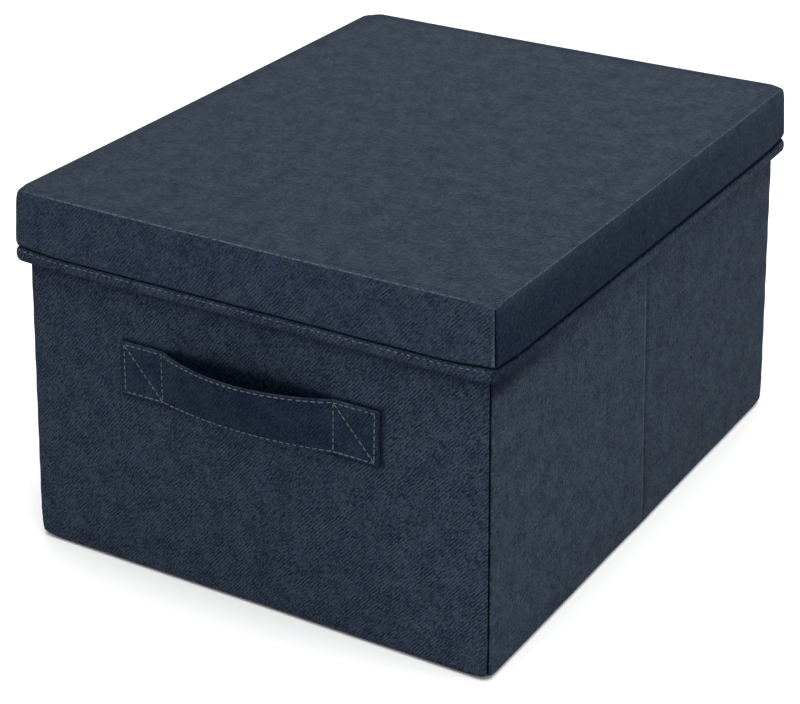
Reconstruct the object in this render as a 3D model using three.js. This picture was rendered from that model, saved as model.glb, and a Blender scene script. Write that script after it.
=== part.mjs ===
// A collapsible fabric storage box with a lift-off lid: cloth over card panels, a loose base board,
// a sewn strap handle on the front, and side walls that fold inwards at a crease halfway along.
// Millimetres, +Z up. The origin is the centre of the underside. The handle is on the front, at -Y.
import * as THREE from "three";

// Outer sizes
const bodyWidth = 294;
const bodyDepth = 370;
const totalHeight = 220;
const lidOverhang = 5;

// Sheets, boards and the clearances between them
const cloth = 0.7;
const lining = 0.5;
const card = 1.8;
const lidCard = 2.5;
const baseCard = 2;
const gap = 0.3;
const foldClearance = 0.3;
const baseClearance = 0.4;

// Walls of the box
const turnIn = 18;
const creaseGap = 0.6;
const boardMargin = 3;
const boardCornerRadius = 4;
const sheetCornerRadius = 2;
const bodyCornerRadius = 4;

// Tray and board at the bottom
const trayEdgeRadius = 3;
const baseBoardInset = 0.6;
const baseCornerRadius = 6;

// Lid
const skirtHeight = 36;
const topEdgeRadius = 0.5;
const topCornerRadius = 3;
const hemHeight = 7.2;
const hemFlat = 2.6;
const hemThickness = 4;
const hemCornerRadius = 9;

// Handle strap
const strapLength = 166;
const strapWidth = 32;
const strapThickness = 2.4;
const strapCentreHeight = 128;
const strapEndLength = 29;
const strapBowTop = 14;
const strapBowBottom = 7.5;
const strapFullnessShare = 0.8;
const strapSag = 0.5;
const strapEdgeRadius = 1;

// Facets
const arcSteps = 6;
const edgeSteps = 3;
const strapStations = 40;

// Sizes that follow from the ones above
const wallThickness = cloth + gap + card + gap + cloth;
const foldRadius = wallThickness / 2;
const hingeInset = wallThickness + foldClearance;
const lidWidth = bodyWidth + 2 * lidOverhang;
const lidDepth = bodyDepth + 2 * lidOverhang;
const trayTop = cloth + gap + baseCard + gap + lining;
const wallFoot = trayTop + baseClearance;
const lidBoardFoot = totalHeight - cloth - gap - lidCard;
const lidLiningFoot = lidBoardFoot - gap - lining;
const wallTop = lidLiningFoot - gap;
const foldHeight = wallTop - foldRadius;
const skirtTop = totalHeight - cloth - gap;
const skirtFoot = totalHeight - skirtHeight;

const clothLook = new THREE.MeshStandardMaterial({ color: 0x2c3746, roughness: 0.92, metalness: 0 });
const strapLook = new THREE.MeshStandardMaterial({ color: 0x29333f, roughness: 0.9, metalness: 0 });
const liningLook = new THREE.MeshStandardMaterial({ color: 0x24262a, roughness: 0.95, metalness: 0 });
const cardLook = new THREE.MeshStandardMaterial({ color: 0x8d8a82, roughness: 0.85, metalness: 0 });

function piece(name, geometry, look) {
  const mesh = new THREE.Mesh(geometry, look);
  mesh.name = name;
  return mesh;
}

function extrude(shape, depth) {
  return new THREE.ExtrudeGeometry(shape, { depth, bevelEnabled: false, curveSegments: arcSteps });
}

// The points of a rounded rectangle about the origin, anticlockwise, each with its outward normal.
function roundedPath(width, depth, radius) {
  const corners = [[1, -1], [1, 1], [-1, 1], [-1, -1]];
  return corners.flatMap(([sideX, sideY], corner) => {
    const centre = new THREE.Vector2(sideX * (width / 2 - radius), sideY * (depth / 2 - radius));
    return Array.from({ length: arcSteps + 1 }, (_, step) => {
      const angle = (corner - 1 + step / arcSteps) * (Math.PI / 2);
      const normal = new THREE.Vector2(Math.cos(angle), Math.sin(angle));
      return { point: normal.clone().multiplyScalar(radius).add(centre), normal };
    });
  });
}

// The points of a rounded rectangle pushed out by a distance, at a height.
function ringAt(path, outwards, height) {
  return path.map(({ point, normal }) => {
    const moved = point.clone().addScaledVector(normal, outwards);
    return new THREE.Vector3(moved.x, moved.y, height);
  });
}

// Six times the volume inside a triangle mesh, negative if its faces point inwards.
function signedVolume(points, faces) {
  const normal = new THREE.Vector3();
  return faces.reduce(
    (sum, [a, b, c]) => sum + normal.crossVectors(points[a], points[b]).dot(points[c]),
    0,
  );
}

// A closed skin over a row of rings with the same number of points. The last ring either joins the
// first, or both end rings are closed by a fan about their centre.
function skin(rings, looped) {
  const around = rings[0].length;
  const points = rings.flat();
  const faces = [];
  const spans = looped ? rings.length : rings.length - 1;
  for (let row = 0; row < spans; row++) {
    const next = (row + 1) % rings.length;
    for (let column = 0; column < around; column++) {
      const beside = (column + 1) % around;
      const corners = [row * around + column, row * around + beside, next * around + beside];
      faces.push(corners, [corners[0], corners[2], next * around + column]);
    }
  }
  if (!looped) {
    [0, rings.length - 1].forEach((row) => {
      const centre = points.length;
      const middle = new THREE.Vector3();
      rings[row].forEach((point) => middle.addScaledVector(point, 1 / around));
      points.push(middle);
      for (let column = 0; column < around; column++) {
        const edge = [row * around + column, row * around + ((column + 1) % around)];
        faces.push(row === 0 ? [centre, edge[1], edge[0]] : [centre, edge[0], edge[1]]);
      }
    });
  }
  const outwards = signedVolume(points, faces) > 0;
  const geometry = new THREE.BufferGeometry().setFromPoints(points);
  geometry.setIndex(faces.flatMap(([a, b, c]) => (outwards ? [a, b, c] : [a, c, b])));
  geometry.computeVertexNormals();
  return geometry;
}

// A flat board or sheet with rounded corners that lies level.
function levelSheet(width, depth, radius, foot, thickness) {
  const path = roundedPath(width, depth, radius);
  return skin([ringAt(path, 0, foot), ringAt(path, 0, foot + thickness)], false);
}

// A flat board or sheet with rounded corners that stands in a wall: x along it, y inwards, z up.
function standingSheet(reach, rise, radius, outside, thickness) {
  const path = roundedPath(reach[1] - reach[0], rise[1] - rise[0], radius);
  const shape = new THREE.Shape(path.map(({ point }) => point));
  const geometry = extrude(shape, thickness);
  geometry.rotateX(Math.PI / 2);
  return geometry.translate((reach[0] + reach[1]) / 2, outside + thickness, (rise[0] + rise[1]) / 2);
}

// Cloth wrapped over the edge of a wall: up the outside, round the fold and down the inside.
// The section has its origin on the outer face at the height of the fold's centre.
function foldedSection(outerLeg, innerLeg) {
  const shape = new THREE.Shape();
  const inner = wallThickness - cloth;
  shape.moveTo(0, -outerLeg);
  shape.lineTo(0, 0);
  shape.absarc(foldRadius, 0, foldRadius, Math.PI, 0, true);
  shape.lineTo(wallThickness, -innerLeg);
  shape.lineTo(inner, -innerLeg);
  shape.lineTo(inner, 0);
  shape.absarc(foldRadius, 0, foldRadius - cloth, 0, Math.PI, false);
  shape.lineTo(cloth, -outerLeg);
  return shape;
}

// That section carried along a wall: x along it, y inwards, z up.
function foldedSheet(section, reach) {
  const geometry = extrude(section, reach[1] - reach[0]);
  const along = new THREE.Vector3(1, 0, 0);
  const inwards = new THREE.Vector3(0, 1, 0);
  const up = new THREE.Vector3(0, 0, 1);
  geometry.applyMatrix4(new THREE.Matrix4().makeBasis(inwards, up, along));
  return geometry.translate(reach[0], 0, 0);
}

// A panel of a wall between two places along it: its cover, its board and the lining below the turn-in.
function wallPanel(name, reach) {
  const cover = foldedSheet(foldedSection(foldHeight - wallFoot, turnIn), reach);
  cover.translate(0, 0, foldHeight);
  const boardReach = [reach[0] + boardMargin, reach[1] - boardMargin];
  const board = standingSheet(boardReach, [wallFoot, foldHeight], boardCornerRadius, cloth + gap, card);
  const inside = cloth + gap + card + gap;
  const liningTop = foldHeight - turnIn - gap;
  const inner = standingSheet(reach, [wallFoot, liningTop], sheetCornerRadius, inside, lining);
  return [
    piece(name + "_cover", cover, clothLook),
    piece(name + "_board", board, cardLook),
    piece(name + "_lining", inner, liningLook),
  ];
}

// The bound seam in a vertical corner of the box, square but for its rounded outer edge.
function cornerBinding(name, side) {
  const width = hingeInset - gap;
  const depth = 2 * hingeInset - gap;
  const outline = new THREE.Shape();
  outline.moveTo(width, depth);
  outline.lineTo(0, depth);
  outline.absarc(bodyCornerRadius, bodyCornerRadius, bodyCornerRadius, Math.PI, 1.5 * Math.PI, false);
  if (bodyCornerRadius < width) outline.lineTo(width, 0);
  const corner = outline.getPoints(arcSteps).map(({ x, y }) => new THREE.Vector2(side * x, y));
  const geometry = extrude(new THREE.Shape(corner), wallTop - wallFoot);
  geometry.translate((-side * bodyWidth) / 2, 0, wallFoot);
  return piece(name, geometry, clothLook);
}

// How far the free middle of the strap has swung out at a place along it, as a share of its full bow:
// a cosine raised to a power, so that it leaves the wall at once and is full in the middle.
function bowShare(along) {
  const free = strapLength - 2 * strapEndLength;
  return Math.abs(along) < free / 2 ? Math.cos((Math.PI * along) / free) ** strapFullnessShare : 0;
}

// The strap: both ends lie flat on the wall, and the middle bows out, further at its top edge, and sags.
function handleStrap() {
  const halfWidth = strapWidth / 2;
  const halfThickness = strapThickness / 2;
  const outline = roundedPath(strapThickness, strapWidth, strapEdgeRadius);
  const step = strapLength / strapStations;
  const rings = Array.from({ length: strapStations + 1 }, (_, station) => {
    const along = -strapLength / 2 + station * step;
    return outline.map(({ point }) => {
      const topShare = (point.y + halfWidth) / strapWidth;
      const bow = THREE.MathUtils.lerp(strapBowBottom, strapBowTop, topShare);
      const slope = (bow * (bowShare(along + step / 2) - bowShare(along - step / 2))) / step;
      const turn = Math.atan(slope);
      const out = gap + halfThickness + bow * bowShare(along) + point.x * Math.cos(turn);
      const height = strapCentreHeight - strapSag * bowShare(along) + point.y;
      return new THREE.Vector3(along - point.x * Math.sin(turn), -out, height);
    });
  });
  return piece("handle_strap", skin(rings, false), strapLook);
}

// The cloth tray that closes the bottom and turns up round the edge to meet the walls.
function bottomTray() {
  const path = roundedPath(bodyWidth, bodyDepth, bodyCornerRadius);
  const quarter = Array.from({ length: edgeSteps + 1 }, (_, step) => (step / edgeSteps) * (Math.PI / 2));
  const bend = (radius) => quarter.map((angle) => [
    radius * Math.sin(angle) - trayEdgeRadius,
    trayEdgeRadius - radius * Math.cos(angle),
  ]);
  const profile = [
    ...bend(trayEdgeRadius),
    [0, trayTop],
    [-cloth, trayTop],
    ...bend(trayEdgeRadius - cloth).reverse(),
  ];
  const rings = profile.map(([outwards, height]) => ringAt(path, outwards, height));
  return piece("bottom_tray", skin(rings, false), clothLook);
}

// The loose board that stiffens the bottom, with the sheet that faces it.
function baseBoard() {
  const inset = 2 * (wallThickness + baseBoardInset);
  const width = bodyWidth - inset;
  const depth = bodyDepth - inset;
  const boardFoot = cloth + gap;
  const facingFoot = boardFoot + baseCard + gap;
  const board = levelSheet(width, depth, baseCornerRadius, boardFoot, baseCard);
  const facing = levelSheet(width, depth, baseCornerRadius, facingFoot, lining);
  return [piece("base_board", board, cardLook), piece("base_board_facing", facing, liningLook)];
}

// One side of the lid's skirt. The cloth goes down the outside, round the board's lower edge and up the
// inside, and its ends are mitred to meet the next side.
function lidSkirt(name, length) {
  const foldCentre = skirtFoot + foldRadius;
  const legs = foldedSection(skirtTop - foldCentre, lidBoardFoot - gap - foldCentre);
  const cover = foldedSheet(legs, [-length / 2, length / 2]);
  cover.rotateY(Math.PI);
  cover.translate(0, 0, foldCentre);
  const places = cover.getAttribute("position");
  for (let index = 0; index < places.count; index++) {
    const end = length / 2 - places.getY(index) - gap / Math.SQRT2;
    places.setX(index, Math.sign(places.getX(index)) * end);
  }
  const reach = length / 2 - wallThickness - gap;
  const rise = [foldCentre, lidBoardFoot - gap];
  const board = standingSheet([-reach, reach], rise, boardCornerRadius, cloth + gap, card);
  return [piece(name + "_cover", cover, clothLook), piece(name + "_board", board, cardLook)];
}

// The flat top of the lid: its cover, the board under it and the lining under that.
function lidTop() {
  const path = roundedPath(lidWidth, lidDepth, topCornerRadius);
  const rings = [ringAt(path, 0, skirtTop + gap)];
  for (let step = 0; step <= edgeSteps; step++) {
    const angle = (step / edgeSteps) * (Math.PI / 2);
    const inwards = topEdgeRadius * (1 - Math.cos(angle));
    rings.push(ringAt(path, -inwards, totalHeight - topEdgeRadius * (1 - Math.sin(angle))));
  }
  const boardInset = 2 * (cloth + gap);
  const board = levelSheet(
    lidWidth - boardInset, lidDepth - boardInset, sheetCornerRadius, lidBoardFoot, lidCard,
  );
  const liningInset = 2 * (wallThickness + gap);
  const inner = levelSheet(
    lidWidth - liningInset, lidDepth - liningInset, sheetCornerRadius, lidLiningFoot, lining,
  );
  return [
    piece("lid_top_cover", skin(rings, false), clothLook),
    piece("lid_top_board", board, cardLook),
    piece("lid_top_lining", inner, liningLook),
  ];
}

// One side of the soft hem that hangs below the skirt's closing seam. It curls in below, its outer
// corners are rounded, and its ends are mitred to meet the next side.
function lidHem(name, length) {
  const top = skirtFoot - gap;
  const drop = hemHeight - gap - hemFlat;
  const curlShare = (hemThickness - cloth) / hemThickness;
  const mitreAt = (y) => length / 2 - y - gap / Math.SQRT2;
  const ring = (share, height) => {
    const outer = Array.from({ length: arcSteps + 1 }, (_, step) => {
      const angle = (step / arcSteps) * (Math.PI / 4);
      const run = THREE.MathUtils.lerp(
        hemCornerRadius * Math.sin(angle), (hemCornerRadius - hemThickness) * Math.tan(angle), share,
      );
      const y = THREE.MathUtils.lerp(hemCornerRadius * (1 - Math.cos(angle)), hemThickness, share);
      return [Math.min(length / 2 - hemCornerRadius + run, mitreAt(y)), y];
    });
    const half = [...outer, [mitreAt(hemThickness), hemThickness]];
    const outline = [...half, ...half.map(([x, y]) => [-x, y]).reverse()];
    return outline.map(([x, y]) => new THREE.Vector3(x, y, height));
  };
  const rings = [ring(0, top)];
  for (let step = 0; step <= arcSteps; step++) {
    const angle = (step / arcSteps) * (Math.PI / 2);
    rings.push(ring(curlShare * (1 - Math.cos(angle)), top - hemFlat - drop * Math.sin(angle)));
  }
  return piece(name, skin(rings, false), clothLook);
}

// A group whose x runs along one side, y inwards from its outer face and z up.
function side(turn, distance, ...pieces) {
  const group = new THREE.Group();
  group.rotation.z = turn;
  group.position.set(distance * Math.sin(turn), -distance * Math.cos(turn), 0);
  group.add(...pieces.flat());
  return group;
}

const front = 0;
const right = Math.PI / 2;
const rear = Math.PI;
const left = -Math.PI / 2;

const frontReach = bodyWidth / 2 - hingeInset;
const sideReach = bodyDepth / 2 - 2 * hingeInset;
const wallSpan = [-frontReach, frontReach];
const nearHalf = [-sideReach, -creaseGap / 2];
const farHalf = [creaseGap / 2, sideReach];

const storageBox = new THREE.Group();
storageBox.add(
  bottomTray(),
  ...baseBoard(),
  side(
    front, bodyDepth / 2,
    wallPanel("front", wallSpan),
    cornerBinding("corner_binding_front_left", 1),
    cornerBinding("corner_binding_front_right", -1),
    handleStrap(),
  ),
  side(
    rear, bodyDepth / 2,
    wallPanel("rear", wallSpan),
    cornerBinding("corner_binding_rear_right", 1),
    cornerBinding("corner_binding_rear_left", -1),
  ),
  side(right, bodyWidth / 2, wallPanel("right_front", nearHalf), wallPanel("right_rear", farHalf)),
  side(left, bodyWidth / 2, wallPanel("left_rear", nearHalf), wallPanel("left_front", farHalf)),
  ...lidTop(),
  side(front, lidDepth / 2, lidSkirt("lid_skirt_front", lidWidth), lidHem("lid_hem_front", lidWidth)),
  side(rear, lidDepth / 2, lidSkirt("lid_skirt_rear", lidWidth), lidHem("lid_hem_rear", lidWidth)),
  side(right, lidWidth / 2, lidSkirt("lid_skirt_right", lidDepth), lidHem("lid_hem_right", lidDepth)),
  side(left, lidWidth / 2, lidSkirt("lid_skirt_left", lidDepth), lidHem("lid_hem_left", lidDepth)),
);

export default storageBox;
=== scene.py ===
import math
from functools import partial

import bmesh
import bpy
import numpy as np
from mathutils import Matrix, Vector


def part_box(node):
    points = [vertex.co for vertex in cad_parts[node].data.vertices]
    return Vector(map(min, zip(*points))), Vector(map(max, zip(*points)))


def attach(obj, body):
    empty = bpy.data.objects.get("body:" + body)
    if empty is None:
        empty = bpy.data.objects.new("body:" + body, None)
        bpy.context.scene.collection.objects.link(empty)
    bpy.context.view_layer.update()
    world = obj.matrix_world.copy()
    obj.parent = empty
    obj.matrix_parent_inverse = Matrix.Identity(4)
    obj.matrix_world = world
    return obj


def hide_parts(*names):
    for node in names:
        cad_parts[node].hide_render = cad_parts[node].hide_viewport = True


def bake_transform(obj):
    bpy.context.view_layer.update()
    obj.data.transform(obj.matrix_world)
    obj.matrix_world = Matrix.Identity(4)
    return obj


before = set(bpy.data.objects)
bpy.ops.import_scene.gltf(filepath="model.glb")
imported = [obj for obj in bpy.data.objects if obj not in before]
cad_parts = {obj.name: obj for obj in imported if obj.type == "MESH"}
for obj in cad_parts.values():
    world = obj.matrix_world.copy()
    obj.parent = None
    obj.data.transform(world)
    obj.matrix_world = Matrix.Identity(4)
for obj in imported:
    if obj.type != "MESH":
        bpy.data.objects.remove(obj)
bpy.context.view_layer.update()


# Camera at the photograph's angle. The verticals converge a little more here than there.
view = {"place": (0.60138, -1.04025, 0.6686), "target": (-0.01563, 0.0, 0.07445), "lens": 98.16}


def addObject(name, data):
    piece = bpy.data.objects.new(name, data)
    bpy.context.scene.collection.objects.link(piece)
    return piece


def addAimed(name, data, place, target):
    # a camera or a lamp that stands at one point and looks at another
    aimed = addObject(name, data)
    aimed.location = place
    aimed.rotation_euler = (Vector(target) - Vector(place)).to_track_quat("-Z", "Y").to_euler()
    return aimed


cameraData = bpy.data.cameras.new("camera")
cameraData.lens = view["lens"]
bpy.context.scene.camera = addAimed("camera", cameraData, view["place"], view["target"])
print("camera placed")


# Sizes read from the frame, in millimetres.
def lowHigh(node):
    low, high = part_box(node)
    return np.array(low) * 1000, np.array(high) * 1000


wallLow, wallHigh = lowHigh("front_cover")
sideHigh = lowHigh("right_rear_cover")[1]
lidHigh = lowHigh("lid_top_cover")[1]
skirtLow = lowHigh("lid_skirt_front_cover")[0]
hemLow = lowHigh("lid_hem_front")[0]
bodyHalf = np.array([sideHigh[0], -wallLow[1]])  # half width and half depth of the box
lidHalf = lidHigh[:2]
wallThick = wallHigh[1] - wallLow[1]
wallTop = wallHigh[2]
foldCentre = wallTop - wallThick / 2

# Each side's turn about Z and which half size lies in front of it: 1 is depth, 0 is width.
sides = {
    "front": (0.0, 1), "right": (math.pi / 2, 0), "rear": (math.pi, 1), "left": (-math.pi / 2, 0),
}
wallBodies = {"front": "front_wall", "rear": "base"}  # the body each short wall rides


# Shape helpers: every point is worked out as an array, in millimetres.
def step(x, low, high):
    # smooth step from 0 at low to 1 at high
    t = np.clip((x - low) / (high - low), 0, 1)
    return t * t * (3 - 2 * t)


def fall(x, low, high):
    # smooth step from 1 at low to 0 at high
    return 1 - step(x, low, high)


def bell(x, width):
    # bell curve: 1 at 0, and 1/e at the width on either side
    return np.exp(-((x / width) ** 2))


def together(*arrays):
    # spreads arrays to one shape and stacks them as the coordinates of points
    return np.stack(np.broadcast_arrays(*arrays), -1)


def runAlong(*parts):
    # the length run along a line of points, from the steps of its coordinates
    steps = np.sqrt(sum(np.diff(part) ** 2 for part in parts))
    return np.concatenate([[0], np.cumsum(steps)])


def slowWave(along, height, size, seed):
    # the sum of three slow sine waves across the surface
    return size * (
        np.sin(along / 43 + seed) * np.cos(height / 37 + 2.1 * seed)
        + 0.6 * np.sin(along / 19 - height / 29 + 3.3 * seed)
        + 0.35 * np.cos(along / 11 + height / 13 + 5.7 * seed)
    ) / 1.95


def sidePoints(side, half, along, out, height):
    # along the side to the right as seen from outside, out from its face, and up
    turn, which = sides[side]
    reach = half[which] + out
    x = along * math.cos(turn) + reach * math.sin(turn)
    y = along * math.sin(turn) - reach * math.cos(turn)
    return together(x, y, height)


def faceRows(half, round_, tuck, slit, leg, middle):
    # Rows across a side that ends in seams: straight, then a quarter ellipse in to the lip of the seam,
    # then a leg that dips into it. Gives the distance along the side and how far in each row lies.
    turn = np.linspace(0, math.pi / 2, 9)[1:, None]
    endAlong = half - round_ + (round_ - tuck - slit) * np.sin(turn)
    endIn = (tuck - slit) * (1 - np.cos(turn))
    if leg:
        dip = np.array([0.5, 1.0])[:, None] * leg
        endAlong = np.concatenate([endAlong, half - tuck - slit - dip])
        endIn = np.concatenate([endIn, tuck - slit + dip])
    flat = middle[:, None] * (half - round_)
    along = np.concatenate([-endAlong[::-1], flat, endAlong])
    inward = np.concatenate([endIn[::-1], 0 * flat, endIn])
    return along, inward


def softCorners(points, half, high, reach, drop, draw, upward):
    # Rounds the four corners at the foot of the box (upward 1) or at the top of the lid (upward -1).
    # How near a corner a point is falls off as a bell curve of its larger distance from the two faces;
    # there the point moves up or down by drop, and in by draw, fading out over high from the edge.
    x, y, z = points[..., 0], points[..., 1], points[..., 2]
    away = np.maximum(np.maximum(half[0] - np.abs(x), half[1] - np.abs(y)), 0)
    near = bell(away, reach)
    fade = np.clip(1 - upward * (z - high[0]) / high[1], 0, 1) ** 2
    share = near * fade
    return np.stack([
        x - np.sign(x) * draw * share, y - np.sign(y) * draw * share, z + upward * drop * share,
    ], -1)


def gridFaces(rows, columns, wrapRows=False, wrapColumns=False):
    r = np.arange(rows if wrapRows else rows - 1)[:, None]
    c = np.arange(columns if wrapColumns else columns - 1)[None, :]
    r2, c2 = (r + 1) % rows, (c + 1) % columns
    corners = [r * columns + c, r2 * columns + c, r2 * columns + c2, r * columns + c2]
    faces = together(*corners).reshape(-1, 4)
    r3, c3 = r + 1, c + 1
    wide = columns + 1
    spots = [r * wide + c, r3 * wide + c, r3 * wide + c3, r * wide + c3]
    return faces, together(*spots).reshape(-1, 4)


def makeMesh(name, points, faces, loopUv=None, marks=None, sharp=50):
    mesh = bpy.data.meshes.new(name)
    mesh.from_pydata((points * 0.001).tolist(), [], [list(f) for f in faces])
    if loopUv is not None:
        layer = mesh.uv_layers.new(name="weave")
        layer.data.foreach_set("uv", (loopUv * 0.001).ravel())
    for key, values in (marks or {}).items():
        attribute = mesh.attributes.new(key, "FLOAT", "POINT")
        attribute.data.foreach_set("value", np.asarray(values, np.float32).ravel())
    mesh.polygons.foreach_set("use_smooth", np.ones(len(mesh.polygons), bool))
    mesh.update()
    if sharp:
        mesh.set_sharp_from_angle(angle=math.radians(sharp))
    return addObject(name, mesh)


def gridPiece(name, points, uv, wrapRows=False, wrapColumns=False, marks=None, caps=False, sharp=50):
    # A grid of points, rows by columns. uv is in millimetres of cloth, and is a row or a column longer
    # where the grid closes on itself.
    rows, columns = points.shape[:2]
    faces, spots = gridFaces(rows, columns, wrapRows, wrapColumns)
    wide = columns + 1
    table = np.zeros((rows + 1, wide, 2))
    table[: uv.shape[0], : uv.shape[1]] = uv
    loopUv = table.reshape(-1, 2)[spots.ravel()]
    faces = faces.tolist()
    if caps:  # close the two ends of a loop
        grid = np.arange(rows * columns).reshape(rows, columns)
        if wrapRows:
            first, last, plane = grid[::-1, 0], grid[:, -1], [0, 1]
        else:
            first, last, plane = grid[0], grid[-1, ::-1], [1, 2]
        faces += [first.tolist(), last.tolist()]
        ends = points.reshape(-1, 3)[np.concatenate([first, last])][:, plane]
        loopUv = np.concatenate([loopUv, ends])
    flatMarks = {k: np.broadcast_to(v, (rows, columns)) for k, v in (marks or {}).items()}
    return makeMesh(name, points.reshape(-1, 3), faces, loopUv, flatMarks, sharp)


def thicken(piece, thickness):
    # gives a sheet its thickness on the inner side, and applies it
    solid = piece.modifiers.new("Thickness", "SOLIDIFY")
    solid.thickness = thickness * 0.001
    solid.offset = -1
    solid.use_even_offset = False
    shape = bpy.context.evaluated_depsgraph_get()
    mesh = bpy.data.meshes.new_from_object(
        piece.evaluated_get(shape), preserve_all_data_layers=True, depsgraph=shape,
    )
    piece.modifiers.clear()
    piece.data = mesh
    mesh.name = piece.name
    mesh.set_sharp_from_angle(angle=math.radians(50))
    return piece


def closeRing(piece, ring):
    # fills the small hole left inside a ring of points
    bm = bmesh.new()
    bm.from_mesh(piece.data)
    bm.verts.ensure_lookup_table()
    face = bm.faces.new([bm.verts[i] for i in ring])
    face.smooth = True
    layer = bm.loops.layers.uv.active
    for loop in face.loops:
        loop[layer].uv = loop.vert.co.xy
    bm.to_mesh(piece.data)
    bm.free()


def dress(piece, body, material, slot, *replaced):
    piece.data.materials.clear()
    piece.data.materials.append(material)
    if body:
        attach(piece, body)
    if replaced:
        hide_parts(*replaced)
    return piece


def addNode(tree, kind, inputs=None, **settings):
    node = tree.nodes.new(kind)
    for key, value in settings.items():
        setattr(node, key, value)
    for key, value in (inputs or {}).items():
        if isinstance(value, bpy.types.NodeSocket):
            tree.links.new(value, node.inputs[key])
        else:
            node.inputs[key].default_value = value
    return node


def calc(tree, operation, *values):
    return addNode(tree, "ShaderNodeMath", dict(enumerate(values)), operation=operation).outputs[0]


def mixColour(tree, share, first, second):
    node = addNode(tree, "ShaderNodeMix", data_type="RGBA")
    for socket, value in ((0, share), (6, first), (7, second)):
        if isinstance(value, bpy.types.NodeSocket):
            tree.links.new(value, node.inputs[socket])
        else:
            node.inputs[socket].default_value = value
    return node.outputs[2]


def newGroup(name, inputs, outputs):
    group = bpy.data.node_groups.new(name, "ShaderNodeTree")
    for label, kind, value in inputs:
        socket = group.interface.new_socket(label, in_out="INPUT", socket_type=kind)
        if value is not None:
            socket.default_value = value
    for label, kind in outputs:
        group.interface.new_socket(label, in_out="OUTPUT", socket_type=kind)
    return group, group.nodes.new("NodeGroupInput").outputs, group.nodes.new("NodeGroupOutput").inputs


def noise(tree, place, scale, detail, roughness=0.5, space="2D"):
    inputs = {"Vector": place, "Scale": scale, "Detail": detail, "Roughness": roughness}
    return addNode(tree, "ShaderNodeTexNoise", inputs, noise_dimensions=space).outputs["Fac"]


def ranged(tree, value, low, high, toLow=0.0, toHigh=1.0):
    # carries the range from low to high over to the other one, and holds it at both ends
    inputs = {"Value": value, "From Min": low, "From Max": high, "To Min": toLow, "To Max": toHigh}
    return addNode(tree, "ShaderNodeMapRange", inputs).outputs[0]


def newMaterial(name, inputs):
    material = bpy.data.materials.new(name)
    material.use_nodes = True
    shader = material.node_tree.nodes["Principled BSDF"]
    for key, value in inputs.items():
        shader.inputs[key].default_value = value
    return material, material.node_tree, shader


def colourAndBump(tree, shader, colour, height, strength, distance):
    tree.links.new(colour, shader.inputs["Base Color"])
    bump = addNode(tree, "ShaderNodeBump", {"Height": height, "Strength": strength, "Distance": distance})
    tree.links.new(bump.outputs[0], shader.inputs["Normal"])


# Twill: threads cross in steps of two over and two under, so that ribs rise to the right.
def twillGroup():
    group, given, result = newGroup(
        "twill weave",
        [
            ("Place", "NodeSocketVector", None), ("Threads", "NodeSocketVector", (1800, 1600, 1)),
            ("Rib", "NodeSocketFloat", 0.5), ("Fleck", "NodeSocketFloat", 0.5),
            ("Cloud", "NodeSocketFloat", 0.5), ("Dark", "NodeSocketColor", (0.01, 0.016, 0.03, 1)),
            ("Light", "NodeSocketColor", (0.05, 0.07, 0.1, 1)),
            ("Second", "NodeSocketColor", (0.04, 0.06, 0.1, 1)),
        ],
        [("Color", "NodeSocketColor"), ("Height", "NodeSocketFloat")],
    )
    place = given["Place"]
    plus, minus, times = [partial(calc, group, kind) for kind in ("ADD", "SUBTRACT", "MULTIPLY")]
    sine = partial(calc, group, "SINE")
    scaled = addNode(
        group, "ShaderNodeVectorMath", {0: place, 1: given["Threads"]}, operation="MULTIPLY",
    ).outputs[0]
    parts = addNode(group, "ShaderNodeSeparateXYZ", {0: scaled}).outputs
    # slight wander of the threads, so that no rib is ruler straight
    shift = times(minus(noise(group, place, 160.0, 1.0), 0.5), 1.6)
    across = plus(parts[0], shift)
    up = plus(parts[1], times(shift, -0.6))
    column, row = calc(group, "FLOOR", across), calc(group, "FLOOR", up)
    order = calc(group, "FLOORED_MODULO", minus(column, row), 4.0)
    warpUp = calc(group, "LESS_THAN", order, 1.5)
    roundWarp = sine(times(minus(across, column), math.pi))
    roundWeft = sine(times(minus(up, row), math.pi))
    rib = calc(group, "MULTIPLY_ADD", sine(times(minus(across, up), math.pi / 2)), 0.5, 0.5)
    weftHeight = times(roundWeft, minus(1.0, warpUp))
    thread = plus(times(roundWarp, warpUp), times(weftHeight, 0.75))
    woven = plus(times(thread, 0.3), times(rib, 0.7))
    # flecks: noise stretched along the ribs breaks them up, and a finer one varies the single threads
    along, beside = times(plus(across, up), 0.10), times(minus(across, up), 0.42)
    onRib = addNode(group, "ShaderNodeCombineXYZ", {0: along, 1: beside}).outputs[0]
    broken = noise(group, onRib, 1.0, 2.0, 0.7)
    grain = noise(group, scaled, 0.5, 2.0, 0.7)
    flecks = plus(minus(broken, 0.5), minus(grain, 0.5))
    cloud = noise(group, place, 75.0, 3.0, 0.55)
    # the ribs stand out more in some places than in others
    crisp = ranged(group, noise(group, place, 30.0, 3.0, 0.6), 0.3, 0.65, 0.2, 1.32)
    tone = times(minus(woven, 0.5), times(given["Rib"], crisp))
    tone = plus(tone, times(flecks, given["Fleck"]))
    tone = plus(tone, times(minus(cloud, 0.5), given["Cloud"]))
    tone = addNode(group, "ShaderNodeClamp", {0: plus(tone, 0.5)}).outputs[0]
    # the light threads are not all dyed alike
    dyed = ranged(group, noise(group, place, 210.0, 3.0, 0.7), 0.38, 0.62)
    light = mixColour(group, dyed, given["Light"], given["Second"])
    group.links.new(mixColour(group, tone, given["Dark"], light), result["Color"])
    group.links.new(woven, result["Height"])
    return group
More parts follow.
